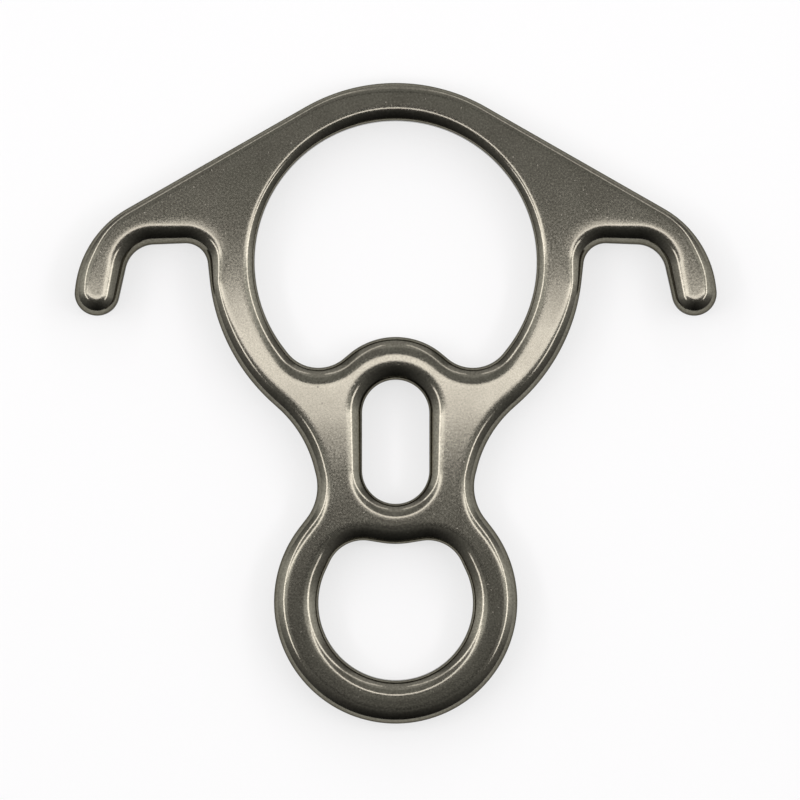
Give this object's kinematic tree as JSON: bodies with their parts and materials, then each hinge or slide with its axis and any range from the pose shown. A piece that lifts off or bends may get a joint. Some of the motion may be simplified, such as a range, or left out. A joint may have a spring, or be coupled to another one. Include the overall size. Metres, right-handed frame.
{
  "type": "figure eight descender",
  "caption": "Forged aluminium figure eight for abseiling and lowering on a rope, with a big rope ring, a slotted bridge, a small connector ring and bent ears that stop the rope locking up.",
  "frame": {"origin": "centre of the underside when the descender lies flat: the middle of its outer box, at the level of the lower face", "axes": "+Z through the thickness, from the lower face to the upper; +Y from the small ring towards the big ring; +X across the ears"},
  "size_m": [0.1604, 0.16, 0.012],
  "materials": {
    "anodised_aluminium": "hot forged, tumbled smooth and anodised warm dark grey, satin"
  },
  "bodies": {
    "root": {"descender_body": "anodised_aluminium"}
  },
  "joints": []
}
